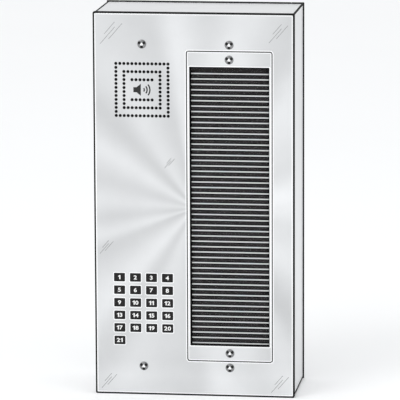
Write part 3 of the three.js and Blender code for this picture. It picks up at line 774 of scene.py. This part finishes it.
def scratches():
    """Painted glint marks: fine slanting grey hairlines let into the brushed face, in groups of three."""
    along = Vector((math.cos(GLINT_SCRATCH_ANGLE), math.sin(GLINT_SCRATCH_ANGLE)))
    across = Vector((-along.y, along.x)) * GLINT_SCRATCH_W / 2
    lines = []
    for x, z, scale in GLINT_SCRATCH_GROUPS:
        for dx, dz, length in GLINT_SCRATCHES:
            middle = Vector((x + scale * dx, z + scale * dz))
            reach = along * scale * length / 2
            taper = along * GLINT_SCRATCH_W
            corners = (middle - reach, middle - reach + taper - across, middle + reach - taper - across)
            corners += (middle + reach, middle + reach - taper + across, middle - reach + taper + across)
            lines.append(fixed([tuple(c) for c in corners]))
    return lines


def centre_of(node):
    e = Extent(node)
    return e.x, e.z


def make_front_panel():
    steel, black, polished, glint_scratch = range(4)
    bright = edge_profile(PLATE_FRONT, PLATE_REAR, HOLE_EDGE, land=LAND)
    fine = edge_profile(PLATE_FRONT, PLATE_REAR, 0.1)
    gap, corner = 2 * FRAME_GAP, 2 + FRAME_GAP
    opening = rectangle(FRAME.x, FRAME.z, FRAME.w + gap, FRAME.h + gap, corner)
    # The walls of the frame opening, the key holes and the grille holes take the black as painted shade.
    holes = [(opening, bright, black, polished)]
    for key in KEYS:
        w, h = (v + 2 * KEY_CLEARANCE for v in KEY_CAP)
        holes.append((rectangle(*centre_of(key), w, h, 0.7), bright, black, polished))
    holes += [(circle(*centre_of(screw), SCREW_HOLE_R), fine, steel, steel) for screw in PANEL_SCREWS]
    holes += [(hole, fine, black, black) for hole in grille_holes()]
    pockets = [(sign, 0.25, black) for sign in loudspeaker_sign(BASKET.x - 0.5, BASKET.z)]
    # The grey hairline pockets are painted glint marks.
    pockets += [(line, GLINT_SCRATCH_DEPTH, glint_scratch) for line in scratches()]
    w, h = PANEL.w - 2 * LIP_COVER, PANEL.h - 2 * LIP_COVER
    outline = rectangle(PANEL.x, PANEL.z, w, h, 1.2, 6)
    outer = edge_profile(PLATE_FRONT, PLATE_REAR, PANEL_EDGE, 4, LAND)
    bm = bmesh.new()
    # The polished trim paints highlight lines round the panel's edge and its openings.
    stack(bm, outline, outer, holes=holes, pockets=pockets, trim=polished)
    for nuts, r in ((SPEAKER_NUTS, 2.0), (BOARD_NUTS, 1.5)):
        for nut in nuts:
            e = Extent(nut)
            end = e.rear + 1.4
            root = [(0, PLATE_REAR - 0.1), (r + 1.2, PLATE_REAR - 0.1), (r + 0.9, PLATE_REAR + 0.4)]
            weld = fillet([*root, (r, PLATE_REAR + 0.7)], 0.3)
            thread = threaded(r, PLATE_REAR + 1.2, end - 0.6, 0.5)
            turned(bm, weld + thread + [(r - 0.5, end), (0, end)], e.x, e.z, 20)
    paints = [STEEL_PANEL, INFILL_AND_SHADE_BLACK, POLISHED_HIGHLIGHT, GLINT_SCRATCH_GREY]
    piece("front_plate", bm, paints, replaces=["front_panel"])


# ---------------------------------------------------------------- screws


HEAD_R = 5.2
HEAD_TOP_R = 2.0  # the polished middle of the head, painted bright as a highlight
RECESS = {"count": 3, "r": 1.8, "circle": 3.15, "floor": -0.5}


def screw_mesh():
    """A low cone head with three round recesses, its underside at y = 0, on a threaded shank."""
    paints = [STEEL_SCREW, RECESS_SHADE_BLACK, POLISHED_HIGHLIGHT]
    head = [(0, -2.0), (HEAD_TOP_R, -2.0), (4.5, -1.6), (HEAD_R, -0.6), (HEAD_R, -0.1)]
    head += [(2.4, -0.1), (2.4, 0.6)]
    bm = bmesh.new()
    turned(bm, fillet(head, 0.4) + threaded(2.4, 1.2, 15.2) + [(1.8, 16.0), (0, 16.0)], sides=64)
    for face in bm.faces:
        if all(math.hypot(v.co.x, v.co.z) < HEAD_TOP_R * MM and v.co.y < -1.9 * MM for v in face.verts):
            face.material_index = 2
    blank = bpy.data.objects.new("screw_blank", finished(mesh_of(bm, "screw_blank"), paints))
    bm = bmesh.new()
    for i in range(RECESS["count"]):
        angle = -math.pi / 2 + 2 * math.pi * i / RECESS["count"]
        x, z = RECESS["circle"] * math.cos(angle), RECESS["circle"] * math.sin(angle)
        r, floor = RECESS["r"], RECESS["floor"]
        # The recesses take the black as painted shade.
        turned(bm, fillet([(0, -3.0), (r, -3.0), (r, floor), (0, floor)], 0.25), x, z, 28, material=1)
    pins = bpy.data.objects.new("screw_recesses", finished(mesh_of(bm, "screw_recesses"), paints))
    for obj in (blank, pins):
        SCENE.collection.objects.link(obj)
    cut = blank.modifiers.new("Recesses", "BOOLEAN")
    cut.operation = "DIFFERENCE"
    cut.solver = "EXACT"
    cut.object = pins
    graph = bpy.context.evaluated_depsgraph_get()
    mesh = bpy.data.meshes.new_from_object(blank.evaluated_get(graph))
    mesh.name = "tamper_proof_screw"
    mesh.set_sharp_from_angle(angle=math.radians(35))
    for obj in (blank, pins):
        bpy.data.objects.remove(obj)
    return mesh


def make_screws():
    mesh = screw_mesh()
    for node in PANEL_SCREWS + DIRECTORY_SCREWS:
        x, z = centre_of(node)
        placed(f"{node}_turned", mesh, replaces=[node], at=(x, PLATE_FRONT, z))


# ---------------------------------------------------------------- name directory


def make_directory():
    steel, polished, black = range(3)
    bright = edge_profile(PLATE_FRONT, PLATE_REAR, FRAME_EDGE, 4, LAND)
    fine = edge_profile(PLATE_FRONT, PLATE_REAR, 0.1)
    # The window opening's walls take the black as painted shade.
    holes = [(rectangle(FRAME.x, FRAME.z, *WINDOW_OPENING, 0.5), bright, black, polished)]
    holes += [(circle(*centre_of(screw), SCREW_HOLE_R), fine, steel, steel) for screw in DIRECTORY_SCREWS]
    bm = bmesh.new()
    w, h = FRAME.w - 2 * FRAME_TRIM, FRAME.h - 2 * FRAME_TRIM
    # The polished trim paints highlight lines round the frame and its window.
    stack(bm, rectangle(FRAME.x, FRAME.z, w, h, 2), bright, holes=holes, trim=polished)
    paints = [STEEL_FRAME, POLISHED_HIGHLIGHT, INFILL_AND_SHADE_BLACK]
    piece("directory_frame_plate", bm, paints, replaces=["directory_frame"])

    flat_piece("directory_pane", "directory_window", CLEAR, 1, 0.25)

    bm = bmesh.new()
    base_front = STRIPS.rear + 0.2
    plate(bm, rectangle(HOLDER.x, HOLDER.z, HOLDER.w, HOLDER.h, 1), base_front, HOLDER.rear, 0.2)
    rail_w, rail_h = RAIL_SIZE
    for z in RAIL_Z:
        plate(bm, rectangle(HOLDER.x, z, rail_w, rail_h, 0.35, 3), HOLDER.front, base_front + 0.3, 0.3)
    piece("strip_rails", bm, ALUMINIUM, replaces=["strip_holder"])

    bm = bmesh.new()
    edges = [STRIPS.z1, *RAIL_Z, STRIPS.z0]
    for i, (above, below) in enumerate(zip(edges, edges[1:])):
        top = above - (rail_h / 2 + 0.15 if i else 0)
        bottom = below + (rail_h / 2 + 0.15 if i < RAIL_COUNT else 0)
        middle, height = (top + bottom) / 2, top - bottom
        plate(bm, rectangle(STRIPS.x, middle, rail_w + 0.2, height, 0.35, 3), CARD_FRONT, STRIPS.rear, 0.2)
        face = rectangle(STRIPS.x, middle, rail_w - 1.2, height - 2 * CARD_MARGIN, 0.3, 3)
        plate(bm, face, STRIPS.front, CARD_FRONT + 0.1, 0.1, material=1, trim=1)
    channel_w = (STRIPS.w - rail_w) / 2 - 0.2
    for side in (-1, 1):
        x = STRIPS.x + side * (STRIPS.w - channel_w) / 2
        plate(bm, rectangle(x, STRIPS.z, channel_w, STRIPS.h, 0.35, 3), STRIPS.front, STRIPS.rear, 0.2)
    piece("name_cards", bm, [CARRIER, CARD], replaces=["name_strips"])


# ---------------------------------------------------------------- call buttons


NUMERAL = {"height": 4.9, "widen": 1.18, "gap": 0.55, "raise": 0.3, "relief": 0.1, "depth": 0.4}
DISH_DEPTH = 0.2
# The figure one with a flag, one unit high.
FIGURE_ONE = (
    (0.26, 0.0),
    (0.26, 0.70),
    (0.03, 0.60),
    (0.03, 0.78),
    (0.20, 0.87),
    (0.31, 1.0),
    (0.50, 1.0),
    (0.50, 0.0),
)


def figure_mesh(character):
    """One bold figure, one unit high and one unit thick, from x = 0 and centred on the other axes."""
    if character == "1":
        curve = bpy.data.curves.new("figure", "CURVE")
        curve.dimensions = "2D"
        curve.fill_mode = "BOTH"
        spline = curve.splines.new("POLY")
        spline.points.add(len(FIGURE_ONE) - 1)
        spline.use_cyclic_u = True
        for point, (x, y) in zip(spline.points, FIGURE_ONE):
            point.co = (x, y, 0, 1)
    else:
        curve = bpy.data.curves.new("figure", "FONT")
        curve.body = character
        curve.offset = 0.026
        curve.resolution_u = 6
    curve.extrude = 0.5
    obj = bpy.data.objects.new("figure", curve)
    SCENE.collection.objects.link(obj)
    mesh = bpy.data.meshes.new_from_object(obj.evaluated_get(bpy.context.evaluated_depsgraph_get()))
    bpy.data.objects.remove(obj)
    low_x = min(v.co.x for v in mesh.vertices)
    low_y = min(v.co.y for v in mesh.vertices)
    height = max(v.co.y for v in mesh.vertices) - low_y
    for v in mesh.vertices:
        v.co.x = (v.co.x - low_x) / height
        v.co.y = (v.co.y - low_y) / height - 0.5
    return mesh


def add_numeral(bm, number, x, z, front):
    """White figures let into a button, their faces at front."""
    height, widen = NUMERAL["height"], NUMERAL["widen"]
    figures = [FIGURES[c] for c in str(number)]
    widths = [height * widen * max(v.co.x for v in mesh.vertices) for mesh in figures]
    cursor = x - (sum(widths) + NUMERAL["gap"] * (len(figures) - 1)) / 2
    for mesh, width in zip(figures, widths):
        first_vert, first_face = len(bm.verts), len(bm.faces)
        bm.from_mesh(mesh)
        bm.verts.ensure_lookup_table()
        bm.faces.ensure_lookup_table()
        for v in bm.verts[first_vert:]:
            px, py, pz = v.co
            place = (cursor + height * widen * px, front + NUMERAL["depth"] * (0.5 - pz), z + height * py)
            v.co = Vector(place) * MM
        for face in bm.faces[first_face:]:
            face.material_index = 1
        cursor += width + NUMERAL["gap"]


FIGURES = {character: figure_mesh(character) for character in "0123456789"}


def make_buttons():
    for i, node in enumerate(KEYS):
        e = Extent(node)
        lip_front, lip_rear = PLATE_REAR + 0.3, PLATE_REAR + 1.3
        outline = rectangle(e.x, e.z, *KEY_CAP, 0.6)
        rim = edge_profile(e.front, lip_front + 2, 0.5, 4)[:5]
        dish = [(inset, e.front + part * DISH_DEPTH) for inset, part in ((1.25, 1), (1.05, 0.8), (0.8, 0.2))]
        lip = [(0, lip_front), (-KEY_LIP_GROW + 0.15, lip_front), (-KEY_LIP_GROW, lip_front + 0.15)]
        lip += [(-KEY_LIP_GROW, lip_rear - 0.15), (-KEY_LIP_GROW + 0.15, lip_rear)]
        bm = bmesh.new()
        stack(bm, outline, dish + rim + lip)
        plate(bm, rectangle(e.x, e.z, 4.4, 4.4, 0.5), lip_rear - 0.3, e.rear, 0.3)
        add_numeral(bm, i + 1, e.x, e.z + NUMERAL["raise"], e.front + DISH_DEPTH - NUMERAL["relief"])
        piece(f"{node}_cap", bm, [KEY_BLACK, KEY_WHITE], f"call_{node}", [node])


# ---------------------------------------------------------------- box and seals


BOX_WALL = 1.5
BOX_FLANGE = 12.0
BOX_FOLD = 1.2
BOX_CORNER = 2.0
WALL_HOLE = {"x": 92.0, "z": 195.0, "r": 3.25}
CABLE_HOLE_R = 11.0
CORD_DEPTH = 0.4
BEAD_R = 1.25


def make_box():
    grommet = Extent("cable_grommet")
    wall, front, rear = BOX_WALL, BOX.front, BOX.rear
    profile = [(wall + 2, rear - wall), (wall, rear - wall), (wall, front + wall)]
    profile += [(BOX_FLANGE, front + wall), (BOX_FLANGE, front)]
    profile += [(0, front), (0, rear), (wall + 2, rear)]
    x, z, r = WALL_HOLE.values()
    holes = [circle(sx * x, sz * z, r) for sx in (-1, 1) for sz in (-1, 1)]
    holes.append(circle(grommet.x, grommet.z, CABLE_HOLE_R, 48))
    bm = bmesh.new()
    outline = rectangle(BOX.x, BOX.z, BOX.w, BOX.h, BOX_CORNER, 6)
    hole_edge = edge_profile(rear - wall, rear, 0.2)
    # The folds and narrow bands take the polished trim, painted bright as highlights.
    stack(bm, outline, fillet(profile, BOX_FOLD), holes=holes, hole_profile=hole_edge, trim=1)
    piece("steel_box", bm, [STEEL_BOX, POLISHED_HIGHLIGHT], replaces=["back_box"])

    bm = bmesh.new()
    reach = BOX_CORNER * (1 - math.sqrt(0.5))
    ends = [(BEAD_R * math.sin(a), BEAD_R * (1 - math.cos(a))) for a in (0, 0.5, 1.0, math.pi / 2)]
    half = [(r, front + 0.3 + y) for r, y in ends]
    profile = half + [(r, front + rear - y) for r, y in reversed(half)]
    for sx in (-1, 1):
        for sz in (-1, 1):
            x = BOX.x + sx * (BOX.w / 2 - reach)
            z = BOX.z + sz * (BOX.h / 2 - reach)
            turned(bm, profile, x, z, 16)
    piece("corner_sealant", bm, SEAL_RUBBER)


def swept(bm, outline, section):
    """A closed section of (inset, y) points carried round an outline."""
    rings = [ring(bm, outline(-inset), y) for inset, y in section]
    bands(bm, [*rings, rings[0]])


def make_seals():
    for part in ("left", "right", "top", "pad"):
        flat_piece(f"wall_gasket_{part}", f"wall_seal_{part}", FOAM, 0.6)

    # A black cord fills the gap round the directory frame, its black standing in as painted shade in the
    # gap.
    cord = rectangle(FRAME.x, FRAME.z, FRAME.w + 2 * FRAME_GAP, FRAME.h + 2 * FRAME_GAP, 2 + FRAME_GAP)
    inner = FRAME_GAP + FRAME_TRIM - 0.05
    section = [(0.05, PLATE_FRONT + CORD_DEPTH), (inner, PLATE_FRONT + CORD_DEPTH)]
    section += [(inner, PLATE_REAR), (0.05, PLATE_REAR)]
    bm = bmesh.new()
    swept(bm, cord, fillet(section, 0.2, closed=True))
    piece("frame_gap_shade_cord", bm, SEAL_RUBBER)

    seal = Extent("panel_seal")
    lip = (seal.w - PANEL.w) / 2 + LIP_COVER - 0.1
    foot = (seal.w - PANEL.w) / 2 + BOX_FLANGE
    foot_front = PLATE_REAR + 0.1
    section = [(lip, seal.front), (0, seal.front), (0, seal.rear), (foot, seal.rear)]
    section += [(foot, foot_front), (lip, foot_front)]
    bm = bmesh.new()
    outline = rectangle(seal.x, seal.z, seal.w, seal.h, BOX_CORNER, 6)
    swept(bm, outline, fillet(section, 0.3, closed=True))
    piece("panel_gasket", bm, SEAL_RUBBER, replaces=["panel_seal"])

    grommet = Extent("cable_grommet")
    profile = [(7, -6), (12, -6), (13.5, -4.75), (13.5, -3.75), (10.7, -3.75), (10.7, -1.95)]
    profile += [(14, -1.95), (13, -0.4), (7, -0.4)]
    bm = bmesh.new()
    turned(bm, fillet(profile, 0.5, closed=True), grommet.x, grommet.z, 48, closed=True)
    piece("cable_bush", bm, SEAL_RUBBER, replaces=["cable_grommet"])


# ---------------------------------------------------------------- speaker


CONE_DEPTH = 15.4  # from the cone's rim to its neck
CONE_OPENING_R = 37.0
MAGNET = {"pole": 9.0, "gap": 11.0, "plate": 18.5, "ring": 22.5, "sheet": 2.6}


def make_speaker():
    x, z = BASKET.x, BASKET.z
    flat_piece("speaker_cloth", "speaker_screen", CLOTH, 3, 0.15)
    holes = [circle(x, z, CONE_OPENING_R, 64)]
    holes += [circle(*centre_of(nut), 2.3) for nut in SPEAKER_NUTS]
    flat_piece("speaker_foam_ring", "speaker_foam_seal", FOAM, 3, 0.4, holes)

    cone = Extent("speaker_cone")
    neck = cone.front + CONE_DEPTH
    profile = [(0, neck - 5), (5.1, neck - 4.3), (8.6, neck - 2.3), (10.3, neck - 1)]
    profile += [(33, cone.front), (33, cone.front + 0.6), (10.9, neck), (10.3, neck + 1)]
    profile += [(10.3, cone.rear), (9.6, cone.rear), (9.6, neck), (8.6, neck - 1.3)]
    profile += [(5.1, neck - 3.3), (0, neck - 4)]
    bm = bmesh.new()
    turned(bm, fillet(profile, 0.8), x, z, 72)
    piece("cone_and_coil", bm, PULP, "moving_cone", ["speaker_cone"])

    magnet = Extent("speaker_magnet")
    front, rear = magnet.front, magnet.rear
    pole, gap, wide, ring_r, sheet = MAGNET.values()
    front_plate = [(gap, front), (wide, front), (wide, front + sheet), (gap, front + sheet)]
    core = [(gap, front + sheet - 0.1), (ring_r, front + sheet - 0.1)]
    core += [(ring_r, rear - sheet + 0.1), (gap, rear - sheet + 0.1)]
    yoke = [(0, front), (pole, front), (pole, rear - sheet - 0.1), (wide, rear - sheet)]
    yoke += [(wide, rear), (0, rear)]
    bm = bmesh.new()
    turned(bm, fillet(front_plate, 0.3, closed=True), x, z, 64, closed=True)
    turned(bm, fillet(core, 0.6, closed=True), x, z, 64, closed=True, material=1)
    turned(bm, fillet(yoke, 0.3), x, z, 64)
    piece("speaker_motor", bm, [ZINC, FERRITE], replaces=["speaker_magnet"])


def make_nuts():
    for nuts, r, flats in ((SPEAKER_NUTS, 2.0, 7.0), (BOARD_NUTS, 1.5, 5.5)):
        for nut in nuts:
            e = Extent(nut)
            bm = bmesh.new()
            hexagon = circle(e.x, e.z, flats / math.sqrt(3), 6, math.pi / 6)
            plate(bm, hexagon, e.front, e.rear, 0.35, holes=[circle(e.x, e.z, r + 0.2)])
            piece(f"{nut}_hex", bm, ZINC, replaces=[nut], sharp=40)


# ---------------------------------------------------------------- button board and its neighbours


DOME = {"r": 4.4, "top_r": 2.8, "wall": 0.6}


def make_domes():
    """The spring mat as a sheet with a hole under each button, and a dome in each."""
    mat = Extent("button_spring_mat")
    sheet_front = mat.rear - 1.1
    holes = [circle(*centre_of(key), DOME["r"] - DOME["wall"]) for key in KEYS]
    bm = bmesh.new()
    plate(bm, rectangle(mat.x, mat.z, mat.w, mat.h, 5.5, 6), sheet_front, mat.rear, 0.2, holes=holes)
    piece("spring_mat_sheet", bm, SILICONE, replaces=["button_spring_mat"])
    for i, key in enumerate(KEYS):
        x, z = centre_of(key)
        r, top, wall = DOME["r"], DOME["top_r"], DOME["wall"]
        profile = [(0, mat.front), (top, mat.front), (r, sheet_front + 0.1), (r - wall, sheet_front + 0.1)]
        profile += [(top - wall, mat.front + 0.7), (0, mat.front + 0.7)]
        bm = bmesh.new()
        turned(bm, fillet(profile, 0.3), x, z, 32)
        dome = piece(f"spring_dome_{i + 1:02d}", bm, SILICONE)
        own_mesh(dome)


def make_board():
    holes = [circle(*centre_of(nut), 1.8) for nut in BOARD_NUTS]
    flat_piece("circuit_board", "button_board", BOARD_GREEN, 1.5, 0.1, holes)


LEAD_ROUTE = (
    (-36.6, -92.9, 112.5),
    (-36.6, -88, 112),
    (-38.6, -82, 96.5),
    (-44, -82, 70),
    (-51, -81, 30),
    (-47, -82, -10),
    (-42, -84, -50),
    (-43, -88, -76),
    (-43, -91.8, -88),
    (-43, -91.8, -93.7),
)


def smooth_path(points, steps=6):
    """A Catmull-Rom curve through the points."""
    path = []
    guarded = [points[0], *points, points[-1]]
    for p0, p1, p2, p3 in zip(guarded, guarded[1:], guarded[2:], guarded[3:]):
        a, b, c, d = map(Vector, (p0, p1, p2, p3))
        bend, twist = 2 * a - 5 * b + 4 * c - d, 3 * b - a - 3 * c + d
        for i in range(steps):
            t = i / steps
            path.append((2 * b + (c - a) * t + bend * t**2 + twist * t**3) / 2)
    path.append(Vector(points[-1]))
    return path


def make_lead():
    bm = bmesh.new()
    tube(bm, smooth_path(LEAD_ROUTE), 1.15, 14)
    piece("speaker_wire", bm, LEAD_GREY, replaces=["speaker_lead"])


def keep_cad_pieces():
    for node in ("upper_bracket", "lower_bracket", "directory_tray", "speaker_basket"):
        refined(node, ZINC)
    refined("button_guide", GUIDE_BLACK, 0.15)
    refined("terminal_block", TERMINAL_GREEN, 0.2)


# ---------------------------------------------------------------- camera, floor and light


CAMERA = {
    "azimuth": 7.56,
    "elevation": 10.0,
    "roll": -0.25,
    "distance": 4487.0,
    "target": (-1.5, -45.0, -4.5),
    "lens": 339.5,
    "sensor": 36.0,
}


def make_camera():
    a, e = math.radians(CAMERA["azimuth"]), math.radians(CAMERA["elevation"])
    back = Vector((math.sin(a) * math.cos(e), -math.cos(a) * math.cos(e), math.sin(e)))
    data = bpy.data.cameras.new("camera")
    data.lens = CAMERA["lens"]
    data.sensor_width = CAMERA["sensor"]
    data.clip_start, data.clip_end = 0.1, 100
    camera = bpy.data.objects.new("camera", data)
    camera.location = (Vector(CAMERA["target"]) + back * CAMERA["distance"]) * MM
    camera.rotation_mode = "QUATERNION"
    roll = Quaternion((0, 0, 1), math.radians(CAMERA["roll"]))
    camera.rotation_quaternion = (-back).to_track_quat("-Z", "Y") @ roll
    SCENE.collection.objects.link(camera)
    SCENE.camera = camera


def soft_light(name, place, aim, size, power):
    data = bpy.data.lights.new(name, "AREA")
    data.shape = "RECTANGLE"
    data.size, data.size_y = size
    data.energy = power
    light = bpy.data.objects.new(name, data)
    light.location = place
    light.rotation_mode = "QUATERNION"
    light.rotation_quaternion = (Vector(aim) - Vector(place)).to_track_quat("-Z", "Y")
    SCENE.collection.objects.link(light)


def make_studio():
    bm = bmesh.new()
    reach, level = 12.0, cad_bounds[0].z
    corners = [(-reach, -reach), (reach, -reach), (reach, reach), (-reach, reach)]
    bm.faces.new([bm.verts.new((x, y, level)) for x, y in corners])
    mesh = bpy.data.meshes.new("floor")
    bm.to_mesh(mesh)
    bm.free()
    mesh.materials.append(pale_floor("pale_floor"))
    floor = bpy.data.objects.new("floor", mesh)
    SCENE.collection.objects.link(floor)

    world = bpy.data.worlds.new("studio")
    world.use_nodes = True
    background = world.node_tree.nodes["Background"]
    background.inputs["Color"].default_value = (0.98, 0.99, 1.0, 1)
    background.inputs["Strength"].default_value = 1.0
    SCENE.world = world
    soft_light("key", (-1.6, -2.2, 2.4), (0, 0, 0), (1.8, 1.8), 30)
    soft_light("fill", (2.4, -1.8, 1.0), (0, 0, 0), (1.6, 1.6), 12)
    SCENE.view_settings.view_transform = "Standard"


# ---------------------------------------------------------------- the object

make_camera()
make_front_panel()
make_screws()
make_directory()
make_buttons()
make_box()
make_seals()
make_speaker()
make_nuts()
make_domes()
make_board()
make_lead()
keep_cad_pieces()
make_studio()
